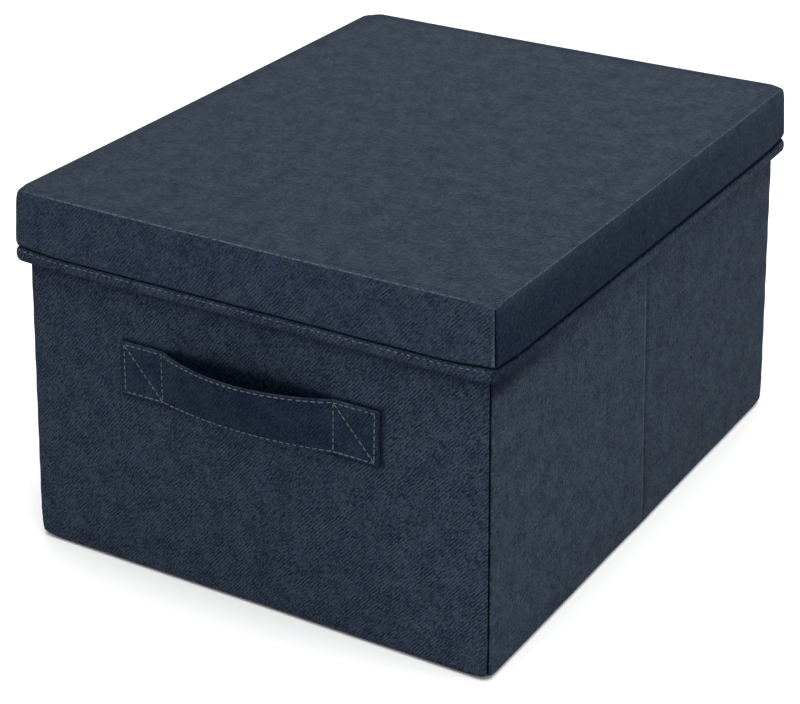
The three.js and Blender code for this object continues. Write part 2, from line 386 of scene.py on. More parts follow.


# Painted highlight and painted shade: where the highlight mark is set the cloth takes the lighter edge
# colour, and where the shade mark is set it takes the deep colour, in seams, grooves, under parts and over
# darker faces.
def highlightShadeGroup():
    group, given, result = newGroup(
        "edge and seam",
        [
            ("Color", "NodeSocketColor", (0.1, 0.1, 0.1, 1)), ("Edge", "NodeSocketColor", (0.2, 0.2, 0.2, 1)),
            ("Deep", "NodeSocketColor", (0.0005, 0.0026, 0.0115, 1)), ("Place", "NodeSocketVector", None),
        ],
        [("Color", "NodeSocketColor")],
    )
    highlight = addNode(group, "ShaderNodeAttribute", attribute_name="highlight").outputs["Fac"]
    shade = addNode(group, "ShaderNodeAttribute", attribute_name="shade").outputs["Fac"]
    uneven = ranged(group, noise(group, given["Place"], 420.0, 2.0), 0.38, 0.62, 0.15, 1.0)
    highlighted = mixColour(group, calc(group, "MULTIPLY", highlight, uneven), given["Color"], given["Edge"])
    patchy = calc(group, "MULTIPLY", shade, calc(group, "MULTIPLY_ADD", uneven, 0.28, 0.775))
    sunk = addNode(group, "ShaderNodeClamp", {0: patchy}).outputs[0]
    group.links.new(mixColour(group, sunk, highlighted, given["Deep"]), result["Color"])
    return group


twill = twillGroup()
highlightShading = highlightShadeGroup()

# The edge colour is that of painted highlights, and deep that of painted shade.
allCloth = {"deep": (0.0005, 0.0026, 0.0115), "threads": (1880, 1640, 1), "rough": 0.92}
clothLooks = {
    # the lid's top: lighter, greyer colours and a brighter edge than the walls, painted for its sheen; softer
    # ribs
    "topCloth": {
        **allCloth, "rib": 0.45, "fleck": 1.25, "cloud": 0.65, "bump": 0.4,
        "dark": (0.0082, 0.0127, 0.0240), "light": (0.0452, 0.0567, 0.0676),
        "second": (0.0342, 0.0446, 0.0654), "edge": (0.1255, 0.1445, 0.1609),
    },
    "outerCloth": {
        **allCloth, "rib": 0.77, "fleck": 2.45, "cloud": 0.9, "bump": 0.5,
        "dark": (0.0072, 0.0119, 0.0240), "light": (0.0390, 0.0530, 0.0712),
        "second": (0.0296, 0.0417, 0.0680), "edge": (0.1097, 0.1350, 0.1551),
    },
    "strapCloth": {
        **allCloth, "rib": 0.5, "fleck": 2.0, "cloud": 1.0, "bump": 0.4, "rough": 0.9,
        "dark": (0.0038, 0.0079, 0.0178), "light": (0.0195, 0.0307, 0.0455),
        "second": (0.0157, 0.0257, 0.0466), "edge": (0.0516, 0.0675, 0.0869),
    },
}
# the skirts: softer ribs, and a bluer deep colour for their painted shade
clothLooks["skirtCloth"] = {
    **clothLooks["outerCloth"], "rib": 0.54, "fleck": 1.85, "cloud": 0.85, "deep": (0.0001, 0.0042, 0.0168),
}
clothShine = {
    "Specular IOR Level": 0.015, "Sheen Weight": 0.021, "Sheen Roughness": 0.45,
    "Sheen Tint": (0.88, 1.0, 0.65, 1),
}


def clothMaterial(name):
    look = clothLooks[name]
    material, tree, shader = newMaterial(name, {"Roughness": look["rough"], **clothShine})
    place = addNode(tree, "ShaderNodeUVMap", uv_map="weave").outputs[0]
    numbers = {label: look[label.lower()] for label in ("Threads", "Rib", "Fleck", "Cloud")}
    colours = {label: (*look[label.lower()], 1) for label in ("Dark", "Light", "Second")}
    # colours of the painted highlight and the painted shade
    highlightShadeColours = {label: (*look[label.lower()], 1) for label in ("Edge", "Deep")}
    weave = addNode(
        tree, "ShaderNodeGroup", {"Place": place, **numbers, **colours}, node_tree=twill,
    ).outputs
    highlighted = addNode(
        tree, "ShaderNodeGroup", {"Color": weave["Color"], "Place": place, **highlightShadeColours}, node_tree=highlightShading,
    ).outputs["Color"]
    colourAndBump(tree, shader, highlighted, weave["Height"], look["bump"], 0.0003)
    return material


def plainFibre(name, dark, light, scale, rough, bump, stretch=(1, 1, 1)):
    # fibres and specks from stretched noise on the piece's own place in the frame
    material, tree, shader = newMaterial(name, {"Roughness": rough})
    place = addNode(tree, "ShaderNodeTexCoord").outputs["Object"]
    stretched = addNode(tree, "ShaderNodeMapping", {"Vector": place, "Scale": stretch}).outputs[0]
    fine = noise(tree, stretched, scale, 4.0, space="3D")
    broad = noise(tree, place, scale / 18, 2.0, space="3D")
    tone = calc(tree, "MULTIPLY_ADD", calc(tree, "SUBTRACT", broad, 0.5), 0.6, fine)
    mixed = mixColour(tree, ranged(tree, tone, 0.3, 0.7), (*dark, 1), (*light, 1))
    colourAndBump(tree, shader, mixed, fine, bump, 0.0002)
    return material


outerCloth = clothMaterial("outerCloth")
litTopLook = clothMaterial("topCloth")
skirtLook = clothMaterial("skirtCloth")
strapCloth = clothMaterial("strapCloth")
liningCloth = plainFibre("liningCloth", (0.010, 0.011, 0.013), (0.022, 0.024, 0.028), 900, 0.95, 0.35)
greyBoard = plainFibre("greyBoard", (0.16, 0.155, 0.14), (0.3, 0.29, 0.265), 700, 0.9, 0.2, (1, 1, 3))
sewingThread = plainFibre("sewingThread", (0.034, 0.047, 0.064), (0.085, 0.108, 0.132), 1500, 0.8, 0.5)
print("materials made")


# The handle strap's place comes first, because the strap's shadow is painted on the cloth behind it.
strap = {
    "endLength": 29.0, "halfWide": 16.0, "bowTop": 14.0, "bowBottom": 7.5, "fullness": 0.8, "sag": 0.5,
    "thick": 2.0, "edgeThick": 2.6, "gap": 0.3, "columns": 28, "edgeHighlight": 0.5, "middleShade": 0.3,
    "thickReach": 1.3, "rollFrom": 0.955, "rollOver": 0.045, "wave": 0.18,
}
strapShadow = {"behind": 0.95, "above": 0.34, "reach": 22.0, "edge": 0.8, "ends": 0.85, "most": 0.96}
strapLow, strapHigh = lowHigh("handle_strap")
strapHalf = (strapHigh[0] - strapLow[0]) / 2
strapFree = strapHalf - strap["endLength"]  # half the length between its sewn ends
strapWide = strap["halfWide"]
strapCentre = strapHigh[2] - strapWide


def bowShare(along):
    # how far the strap has swung out between its sewn ends: a cosine raised to a power
    arch = np.clip(np.cos(np.pi * along / (2 * strapFree)), 0, 1) ** strap["fullness"]
    return np.where(np.abs(along) < strapFree, arch, 0)


def strapShade(along, height):
    # Painted shadow of the strap on the wall cloth: darkest right behind the bow and along the top and ends
    # of the strap, with a soft painted shade reaching up from there. None below it.
    top = strapCentre + strapWide - strap["sag"] * bowShare(along)
    above = height - top
    inside = (height > strapCentre - strapWide - 1) * 1.0
    bow = bowShare(along) ** 0.75
    level = (np.abs(along) < strapHalf) * inside
    behind, over = strapShadow["behind"], strapShadow["above"]
    shade = level * bow * (behind * fall(above, -3.0, 1.2) + over * fall(above, 0, strapShadow["reach"]))
    shade = np.maximum(shade, level * strapShadow["edge"] * fall(above, 0.6, 1.9))
    beyond = np.abs(along) - strapHalf
    ends = fall(beyond, 0.9, 2.2) * (above < 0.8) * inside * strapShadow["ends"]
    return np.clip(np.maximum(shade, ends), 0, strapShadow["most"])


# Walls of the box.
walls = {
    "foot": 4.0, "flare": 4.5, "flareTop": 178.0, "wave": 0.22,
    "round": 3.4, "roundLow": 4.6, "tuck": 1.0, "tuckLow": 1.6, "lowReach": 20.0,
    "slit": 0.35, "leg": 1.6, "join": 177.0, "innerEnd": 143.2, "cloth": 0.7,
    "creaseDip": 0.32, "creaseWidth": 1.1, "creaseSwell": 0.35, "creaseLean": 2.0, "swellWidth": 9.0,
    "turnIn": 18.0, "seamCalm": 22.0, "topCalm": 30.0, "pull": 4.5, "underReach": 60.0,
    "cornerHigh": 9.0, "cornerReach": 6.0, "cornerDrop": 2.2, "cornerDraw": 0.6,
    "pucker": 0.13, "puckerPitch": 4.2, "tone": 0.12, "seamBlend": (180.2, 177.3),
    "creaseHighlight": (0.45, 0.2, 0.1), "creaseShade": 0.26, "rearHalfShade": 0.07,
    "underHem": 0.5, "underHemFar": 0.14, "underHemRear": 0.45, "underCorner": 0.78, "cornerShade": 65.0,
    "shadeFrom": (167, 177), "shadeTo": (179, 187), "cornerFrom": (164.5, 169),
}


def flareAt(height):
    # the cloth stands a little further out towards the foot
    return walls["flare"] * (1 - np.clip(height / walls["flareTop"], 0, 1))


def cornerAt(height):
    # towards the foot the corner is softer: rounding and how far its lip is tucked in
    low = fall(height, 0, walls["lowReach"])
    round_ = walls["round"] + (walls["roundLow"] - walls["round"]) * low
    tuck = walls["tuck"] + (walls["tuckLow"] - walls["tuck"]) * low
    return round_, tuck


def outerFace(side, along, inward, height, half):
    # how far the outer cloth stands out: the flare, a slow wave that dies out at the seams and at the
    # top, a sine up the wall that puckers it beside the seams, and on the two long sides a crease with a
    # slight swell beside it, as bell curves across
    calm = step(half - np.abs(along), walls["round"], walls["seamCalm"])
    seed = list(sides).index(side) + 1.3
    wave = slowWave(along, height, walls["wave"], seed) * calm
    wave = wave * step(wallTop - height, 0, walls["topCalm"])
    out = flareAt(height) - inward + wave
    pull = bell(half - np.abs(along), walls["pull"]) * step(height, 5, 20)
    out = out + walls["pucker"] * np.sin(height * 2 * np.pi / walls["puckerPitch"]) * pull
    if side in ("left", "right"):
        at = along - creaseLine(side, height)
        out = out - walls["creaseDip"] * bell(at, walls["creaseWidth"])
        swell = walls["swellWidth"]
        out = out + walls["creaseSwell"] * (bell(at, swell) - bell(at, swell / 3) * 0.6)
    return out


def creaseLine(side, height):
    # the crease leans towards the rear at its foot
    lean = walls["creaseLean"] * (1 - height / 95) + 0.25 * np.sin(height / 16)
    return lean if side == "right" else -lean


def footCorners(points):
    return softCorners(
        points, bodyHalf + walls["flare"], (0, walls["cornerHigh"]), walls["cornerReach"],
        walls["cornerDrop"], walls["cornerDraw"], 1,
    )


def seamShade(inward, height):
    # painted shade from just before the lip of a corner seam down into it, more between the stitches than at
    # them
    drawn = np.sin(height * 2 * np.pi / walls["puckerPitch"])
    return step(inward, walls["tuck"] * (0.62 - 0.16 * drawn), walls["tuck"] * 1.4) * (0.9 + 0.08 * drawn)


def underHemShade(height, away):
    # painted shadow just under the lid's hem on the long sides, darkest near the front corners: a band of
    # heights times a fall with the distance from the corner
    far = walls["underHemFar"]
    strength = far + (walls["underHem"] - far) * np.exp(-away / walls["underReach"])
    band = step(height, *walls["shadeFrom"]) * strength
    corner = walls["underCorner"] * step(height, *walls["cornerFrom"]) * bell(away, walls["cornerShade"])
    return np.maximum(band, corner) * fall(height, *walls["shadeTo"])


def wallRows():
    # heights up a wall, closer together near its foot
    low = np.linspace(walls["foot"], walls["lowReach"], 12)
    return np.concatenate([low, np.linspace(walls["lowReach"], foldCentre, 56)[1:]])[None, :]


def evenInside(along, out, reach):
    # where each row runs on the inner face: at its share of the length along the fold
    place = runAlong(along[:, -1], out[:, -1])
    return ((place / place[-1] * 2 - 1) * reach)[:, None]


def turnOver(along, out, inside, over, straight):
    # adds the columns that go round a fold in a half circle, and straight on along the inner face
    edge, edgeOut = along[:, -1:], out[:, -1:]
    share = (1 - np.cos(over)) / 2
    foldOut = edgeOut + (-wallThick - edgeOut) * share
    return (
        np.concatenate([along, edge + (inside - edge) * share, inside + 0 * straight], 1),
        np.concatenate([out, foldOut, -wallThick + 0 * inside + 0 * straight], 1),
    )


def wallCloth(side):
    # The grid goes up the outer face, over the top in a half circle and down the inner face.
    # Over the top each row runs from its place on the outer face to its place on the inner one.
    outer = wallRows()
    half = bodyHalf[1 - sides[side][1]] + flareAt(outer)
    cornered = side in wallBodies
    if cornered:
        along, inward = faceRows(half, *cornerAt(outer), walls["slit"], walls["leg"], plainRows)
    else:
        along = creaseRows[:, None] * walls["join"] + 0 * outer
        inward = 0 * along
    out = outerFace(side, along, inward, outer, half)
    height = outer + 0 * along
    edge = along[:, -1:]
    inside = evenInside(along, out, walls["innerEnd"]) if cornered else edge
    over = np.linspace(0, math.pi, 10)[None, 1:]
    down = np.linspace(foldCentre, foldCentre - walls["turnIn"], 6)[None, 1:]
    along, out = turnOver(along, out, inside, over, down)
    height = np.concatenate([
        height, foldCentre + wallThick / 2 * np.sin(over) + 0 * edge, down + 0 * edge,
    ], 1)
    rise = np.concatenate([
        outer[0], foldCentre + wallThick / 2 * over[0],
        foldCentre + wallThick / 2 * math.pi + foldCentre - down[0],
    ])
    points = footCorners(sidePoints(side, bodyHalf, along, out, height))
    uv = together(along, rise[None, :])
    highlight, shade = 0 * along, 0 * along
    if cornered:
        # painted shade in the seams and over most of the wall, fading towards one end; painted shadow under
        # the hem
        shade[:, : inward.shape[1]] = seamShade(inward, outer)
        under = step(height, *walls["shadeFrom"]) * fall(height, *walls["shadeTo"])
        under = under * (1 if side == "front" else walls["underHemRear"])
        tone = walls["tone"] * (1.1 - step(along, 40, 140))
        shade = np.maximum(shade, np.maximum(tone, walls["underHem"] * under))
    else:
        nearer = 1 if side == "left" else -1
        at = nearer * (along - creaseLine(side, height))
        # painted highlight along the crease, painted shade behind it and over the rear half, painted shadow
        # under the hem
        mean, quick, slow = walls["creaseHighlight"]
        highlighted = bell(at - 0.6, 0.7) * (mean + quick * np.sin(height * 1.3) + slow * np.sin(height * 0.31))
        highlight = highlighted * step(height, 6, 20) * fall(height, 146, 166)
        shade = walls["creaseShade"] * bell(at + 2.2, 1.8) + walls["rearHalfShade"] * fall(at, -3, 0)
        shade = np.maximum(shade * step(height, 4, 20), underHemShade(height, bodyHalf[1] - along * nearer))
    # the strap's painted shadow
    if side == "front":
        shade = np.maximum(shade, strapShade(along, height))
    piece = gridPiece(side + "Cloth", points, uv, marks={"highlight": highlight, "shade": shade})
    return thicken(piece, walls["cloth"])


plainRows = np.linspace(-1, 1, 90)
creaseRows = np.concatenate([
    np.linspace(-1, -0.045, 60), np.linspace(-0.04, 0.04, 41), np.linspace(0.045, 1, 60),
])


def dressWall(piece, side, material, slot, part):
    # a short wall rides one body; a long one rides none, and stands in for its two halves either side of its
    # crease
    if side in wallBodies:
        dress(piece, wallBodies[side], material, slot, side + part)
        return
    dress(piece, None, material, slot, side + "_front" + part, side + "_rear" + part)
    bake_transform(piece)


wallOrder = ("front", "rear", "left", "right")
for side in wallOrder:
    dressWall(wallCloth(side), side, outerCloth, "outer_cloth", "_cover")
print("wall cloths made")


# The bound seam in a corner: it carries the side's cloth from the seam to the folding wall, and closes
# the wall's end. Its outline runs from inside the seam over the lip and along the side, across the end
# of the wall and back along the inside.
def cornerSeam(name, signX, signY):
    outer = wallRows()
    flare = flareAt(outer)
    round_, tuck = cornerAt(outer)
    slit, leg = walls["slit"], walls["leg"]
    halfDepth = bodyHalf[1] + flare
    end = halfDepth - walls["join"]
    side = "right" if signX > 0 else "left"
    turn = np.linspace(math.pi / 2, 0, 9)[:, None]
    dip = np.array([1.0, 0.5])[:, None] * leg
    b = np.concatenate([tuck + slit + dip, round_ - (round_ - tuck - slit) * np.sin(turn)])
    a = np.concatenate([tuck - slit + dip, (tuck - slit) * (1 - np.cos(turn))])
    far = np.linspace(0, 1, 6)[1:, None]
    b = np.concatenate([b, round_ + (end - round_) * far])
    a = np.concatenate([a, 0 * far + 0 * outer])
    lookAlong = (halfDepth - b) * (-1 if side == "right" else 1) * (1 if signY < 0 else -1)
    outward = outerFace(side, lookAlong, a, outer, halfDepth)
    a = flare - outward
    inner = wallThick - 0.2 + flare
    a = np.concatenate([a, 0.5 * inner, inner, inner + 0 * a[:1]])
    b = np.concatenate([b, end, end, wallThick + 0.2 + flare + 0 * a[:1]])
    a, b = a + 0 * outer, b + 0 * outer
    over = np.linspace(0, math.pi * 0.49, 7)[None, 1:]
    top, topB = a[:, -1:], b[:, -1:]
    spine = wallThick / 2
    spineB = np.clip(topB, spine + 0.4, None)
    a = np.concatenate([a, spine + (top - spine) * np.cos(over)], 1)
    b = np.concatenate([b, spineB + (topB - spineB) * np.cos(over)], 1)
    height = np.concatenate([outer, foldCentre + spine * np.sin(over)], 1) + 0 * a
    flareAll = flareAt(height)
    x = signX * (bodyHalf[0] + flareAll - a)
    y = signY * (bodyHalf[1] + flareAll - b)
    points = footCorners(np.stack([x, y, height], -1))
    run = runAlong(a[:, 0], b[:, 0])
    uvAlong = np.where(run[:, None] < 14, y * (1 if side == "right" else -1), run[:, None])
    uv = np.stack([uvAlong, height], -1)
    uv = np.concatenate([uv, uv[:1]])
    shade = np.zeros(a.shape)
    shade[:5] = np.array([1, 1, 0.8, 0.45, 0.15])[:, None]  # painted shade from inside the seam to past its lip
    # near the front the rows beside the wall take the painted shadow under the lid's hem
    if signY < 0:
        outside = 16  # rows that show beside the wall
        shade[:outside] = np.maximum(shade, underHemShade(height, bodyHalf[1] + y))[:outside]
    if signX * signY > 0:
        points, uv, shade = points[::-1], uv[::-1], shade[::-1]
    return gridPiece(name, points, uv, wrapRows=True, marks={"highlight": 0 * shade, "shade": shade}, caps=True)


corners = {
    "frontLeft": (-1, -1, "corner_binding_front_left", ("front_wall", "left_front_wall")),
    "frontRight": (1, -1, "corner_binding_front_right", ("front_wall",)),
    "rearLeft": (-1, 1, "corner_binding_rear_left", ("base", "left_rear_wall")),
    "rearRight": (1, 1, "corner_binding_rear_right", ("base", "right_rear_wall")),
}
for name, (signX, signY, node, bodies) in corners.items():
    piece = cornerSeam(name + "Seam", signX, signY)
    dress(piece, bodies[0] if len(bodies) == 1 else None, outerCloth, "outer_cloth", node)
    if len(bodies) == 2:
        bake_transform(piece)


# The strip that closes the end of the right front wall, where the ring of walls comes apart.
def wallEnd():
    height = np.linspace(walls["foot"] + 0.4, foldCentre + 0.6, 40)[None, :]
    across = np.linspace(-0.7, -wallThick + 0.6, 6)[:, None]
    along = -walls["join"] + 0.25 + 0.12 * np.cos((across + wallThick / 2) * 1.1) + 0 * height
    points = sidePoints("right", bodyHalf, along, across + 0 * height, height + 0 * across)
    uv = together(across, height)
    return thicken(gridPiece("rightFrontEnd", points[::-1], uv, marks={"highlight": 0, "shade": 0}), 0.6)


dress(wallEnd(), "right_front_wall", outerCloth, "outer_cloth")
print("corner seams made")


# Linings and the loose base.
liningThick = 0.4


def wallLining(side):
    # a flat sheet just inside the wall, with a slow wave that dies out at its foot and its top
    low = lowHigh(("front" if side in wallBodies else "right_rear") + "_lining")[0][2]
    high = lowHigh("front_lining")[1][2]
    if side in wallBodies:
        across, reach = np.linspace(-1, 1, 60), walls["innerEnd"] - 0.3
    else:
        across, reach = creaseRows, walls["join"] - 0.2
    height = np.linspace(low, high, 40)[None, :]
    along = across[:, None] * reach + 0 * height
    sag = slowWave(along, height, 0.12, 9.1 + reach)
    out = -(wallThick - 0.2) + 0.12 + sag * step(height - low, 0, 20) * step(high - height, 0, 10)
    points = sidePoints(side, bodyHalf, along, out, height + 0 * along)
    uv = together(along, height)
    return thicken(gridPiece(side + "Lining", points[::-1], uv[::-1]), liningThick)


for side in wallOrder:
    dressWall(wallLining(side), side, liningCloth, "lining_cloth", "_lining")


def loopPlan(half, round_, middle):
    # points of a rounded rectangle with straight sides cut into short steps, anticlockwise, and their
    # outward normals
    centres = np.array([(1, -1), (1, 1), (-1, 1), (-1, -1)]) * (half - round_)
    share = np.linspace(0, 1, middle + 1)[1:-1, None]
    line, normals = [], []
    for k in range(4):
        angle = np.linspace(0, math.pi / 2, 9) + (k - 1) * math.pi / 2
        normal = np.stack([np.cos(angle), np.sin(angle)], -1)
        arc = centres[k] + round_ * normal
        target = centres[(k + 1) % 4] + round_ * normal[-1]
        line += [arc, arc[-1] + (target - arc[-1]) * share]
        normals += [normal, np.repeat(normal[-1:], middle - 1, 0)]
    return np.concatenate(line), np.concatenate(normals)


def levelSheet(name, half, round_, high, thickness, wave, seed, shape=lambda points: points):
    # rings from the edge to the middle of a rounded rectangle, with a slow wave in height
    edge = loopPlan(half, round_, 30)[0]
    share = np.concatenate([[1, 0.995], np.linspace(0.985, 0.02, 34)])
    ring = edge[:, None, :] * share[None, :, None]
    height = high + slowWave(ring[..., 0], ring[..., 1], wave, seed) * (1 - share[None, :] ** 8)
    points = shape(np.concatenate([ring, height[..., None]], -1))
    uv = np.concatenate([ring, ring[:1]])
    piece = gridPiece(name, points, uv, wrapRows=True, marks={"highlight": 0, "shade": 0})
    closeRing(piece, innermost(points))
    return thicken(piece, thickness)


def innermost(points):
    rows, columns = points.shape[:2]
    return np.arange(rows) * columns + columns - 1


facingHigh = lowHigh("base_board_facing")[1]
facing = levelSheet("baseFacing", facingHigh[:2], 6.0, facingHigh[2], liningThick, 0.1, 4.2)
dress(facing, "base", liningCloth, "lining_cloth", "base_board_facing")


# The bottom cloth: flat underneath, round at its edge, and level with the walls' feet above.
tray = {"edgeRadius": 3.6, "edgeTuck": 0.6}


def bottomCloth():
    turn = np.linspace(0, math.pi / 2, 8)
    rise = tray["edgeRadius"] * (1 - np.cos(turn))
    inset = tray["edgeRadius"] * (1 - np.sin(turn)) + tray["edgeTuck"] * fall(rise, 0, 3.5)
    height = np.concatenate([rise, [walls["foot"]]])[None, :]
    inset = np.concatenate([inset, [0.0]])[None, :]
    loops = []
    for side in sides:
        which = 1 - sides[side][1]
        half = bodyHalf[which] + flareAt(height) - inset
        round_, tuck = cornerAt(height)
        along, inward = faceRows(half, round_, tuck, walls["slit"], 0.8, np.linspace(-1, 1, 50))
        out = outerFace(side, along, inward, height, half) - inset
        loops.append(sidePoints(side, bodyHalf, along, out, height + 0 * along))
    rim = np.concatenate(loops)
    share = np.concatenate([[0.02], np.linspace(0.05, 0.985, 24)])[None, :, None]
    floor = rim[:, :1, :] * share
    floor[..., 2] = 0
    points = footCorners(np.concatenate([floor, rim], 1))
    uv = np.concatenate([points[..., :2], points[:1, :, :2]])
    # the bottom cloth takes the walls' painted shade, evenly
    piece = gridPiece("bottomCloth", points, uv, wrapRows=True, marks={"highlight": 0, "shade": walls["tone"]})
    closeRing(piece, (np.arange(points.shape[0]) * points.shape[1])[::-1])
    return thicken(piece, walls["cloth"])


dress(bottomCloth(), "base", outerCloth, "outer_cloth", "bottom_tray")
print("linings and base made")


# Lid.
lid = {
    "edgeDrop": 0.9, "round": 3.2, "tuck": 0.8, "slit": 0.3, "leg": 1.4,
    "roundLow": 3.6, "tuckLow": 1.0, "lowReach": 9.0, "pinch": 0.8, "pinchReach": 3.0,
    "sag": 0.6, "wave": 0.2, "topWave": 0.28, "cloth": 0.6, "rollRadius": 0.5,
    "sideShade": 0.86, "sideFade": 0.5, "shortShade": 0.1, "lipHighlight": 0.8, "topInset": 1.4, "footOut": 0.5,
    "cornerLift": 2.2, "cornerSpan": 17.0, "footRound": 1.6, "darkShort": 0.7, "darkLong": 1.9, "board": 2.3,
    "dipShade": (0.3, 0.2), "dipWidth": (2.6, 4.5), "dipPlace": 6.0, "topFrontShade": 0.16,
    "cornerHigh": 9.0, "cornerReach": 5.0, "cornerDrop": 1.8, "cornerDraw": 0.5,
}
skirtFoot, skirtTop = skirtLow[2], lidHigh[2]
underLid = lowHigh("lid_top_lining")[1]


def lidCorner(height):
    low = fall(height, skirtFoot, skirtFoot + lid["lowReach"])
    return (
        lid["round"] + (lid["roundLow"] - lid["round"]) * low,
        lid["tuck"] + (lid["tuckLow"] - lid["tuck"]) * low,
    )


def lidFlare(height):
    # the skirt leans out a little from its top edge to its foot
    share = np.clip((skirtTop - height) / (skirtTop - skirtFoot), 0, 1)
    return -lid["topInset"] + (lid["topInset"] + lid["footOut"]) * share


def fromCorner(line):
    # how far points on the lid's outline lie from its nearest corner
    return np.maximum(lidHalf[0] - np.abs(line[:, 0]), lidHalf[1] - np.abs(line[:, 1]))


def cornerLift(away):
    # towards the lid's corners the foot of the skirt and the hem rise a little
    return lid["cornerLift"] * bell(away, lid["cornerSpan"])


def topCorners(points):
    return softCorners(
        points, lidHalf - lid["topInset"], (skirtTop, lid["cornerHigh"]), lid["cornerReach"],
        lid["cornerDrop"], lid["cornerDraw"], -1,
    )


def edgeSag(along, half):
    # the long edges dip a little between the corners
    return lid["sag"] * np.clip(1 - (along / half) ** 2, 0, 1)


def skirtCloth(side):
    # down the outside from the top edge, pinched in above the hem, round the board's foot and up inside
    top = skirtTop - 0.9
    curl = np.linspace(math.pi / 2, 0, 5)
    edgeIn, edgeUp = 0.8 * (1 - np.cos(curl)), 0.8 * np.sin(curl)
    down = np.concatenate([
        np.linspace(top, skirtFoot + 8, 18)[1:],
        np.linspace(skirtFoot + 8, skirtFoot + lid["footRound"], 12)[1:],
    ])
    height = np.concatenate([top + edgeUp, down])[None, :]
    inset = np.concatenate([edgeIn, 0 * down])[None, :]
    half = lidHalf[1 - sides[side][1]]
    flare = lidFlare(height)
    along, inward = faceRows(half - inset + flare, *lidCorner(height), lid["slit"], lid["leg"], plainRows)
    pinch = lid["pinch"] * fall(height, skirtFoot + 0.8, skirtFoot + 0.8 + lid["pinchReach"])
    calm = step(half - np.abs(along), lid["round"], 20)
    seed = list(sides).index(side) + 5.2
    wave = slowWave(along, height, lid["wave"], seed) * calm * step(height, skirtFoot, skirtFoot + 12)
    out = flare - inward - inset - pinch + wave
    lift = cornerLift(half - np.abs(along))
    height = height - edgeSag(along, half) * step(height, skirtFoot + 5, skirtTop)
    height = height + lift * fall(height, skirtFoot, skirtFoot + 22)
    inside = evenInside(along, out, half - wallThick - 0.2)
    over = np.linspace(0, math.pi, 8)[None, 1:]
    centre = skirtFoot + lid["footRound"]
    up = np.linspace(centre, underLid[2] - 0.6, 8)[None, 1:]
    alongAll, outAll = turnOver(along, out, inside, over, up)
    raised = lift[:, -1:]
    raisedUp = raised * (1 - (up - centre) / (up[:, -1:] - centre))
    heightAll = np.concatenate([
        height, centre - lid["footRound"] * np.sin(over) + raised, up + raisedUp,
    ], 1)
    points = topCorners(sidePoints(side, lidHalf, alongAll, outAll, heightAll))
    drop = runAlong(outAll[60], heightAll[60])
    uv = together(alongAll, skirtTop - drop[None, :])
    shade = 0 * alongAll
    columns = inward.shape[1]
    foot = height - lift
    # painted shade in the seam at each corner and in the groove at the skirt's foot
    dark = 0.5 * step(inward, lid["tuck"] * 0.8, lid["tuck"] * 1.5)
    deep = lid["darkShort" if side in wallBodies else "darkLong"]
    shade[:, :columns] = np.maximum(dark, fall(foot, skirtFoot + deep, skirtFoot + deep + 0.8))
    if side in ("left", "right"):  # painted shade, darker towards the front and lower down
        back = (1 + (-along if side == "left" else along) / half) / 2
        tone = lid["sideShade"] - lid["sideFade"] * back * (0.2 + 0.8 * back)
        tone = tone * (1 - 0.75 * np.exp((foot - skirtTop) / 6))
        shade[:, :columns] = np.maximum(shade[:, :columns], tone)
    # painted shade, fully dark, on the fold round the foot
    shade[:, columns:] = np.where(np.arange(shade.shape[1] - columns)[None, :] < 6, 1.0, 0.0)
    highlight = 0 * alongAll
    if side in ("front", "rear"):  # this cloth laps over at the corner: painted highlight on its lip, painted shade fading towards one end
        shortShade = lid["shortShade"] * (1.1 - step(along, 40, 140))
        shade[:, :columns] = np.maximum(shade[:, :columns], shortShade)
        lip = bell(half - np.abs(along) - 1.7, 0.8)
        ends = 0.35 + 0.65 * np.cos((height - skirtFoot) / (skirtTop - skirtFoot) * math.pi) ** 2
        highlight[:, :columns] = lid["lipHighlight"] * lip * ends * step(height, skirtFoot + 2, skirtFoot + 5)
    name = "lid" + side.capitalize() + "Skirt"
    piece = gridPiece(name, points[::-1], uv[::-1], marks={"highlight": highlight[::-1], "shade": shade[::-1]})
    return thicken(piece, lid["cloth"])


for side in sides:
    dress(skirtCloth(side), "lid", skirtLook, "outer_cloth", "lid_skirt_" + side + "_cover")


def lidPlan(inset, middle=60):
    # the lid's outline with its seams' shallow lips, at a distance in from the edge
    loops = []
    for side in sides:
        which = 1 - sides[side][1]
        back = inset + lid["topInset"]
        along, inward = faceRows(
            lidHalf[which] - back, lid["round"] + 0 * inset, lid["tuck"] + 0 * inset, 0.05, 0,
            np.linspace(-1, 1, middle),
        )
        sag = edgeSag(along, lidHalf[which]) + 0 * inset
        loops.append(sidePoints(side, lidHalf, along, -inward - back, sag))
    return np.concatenate(loops)


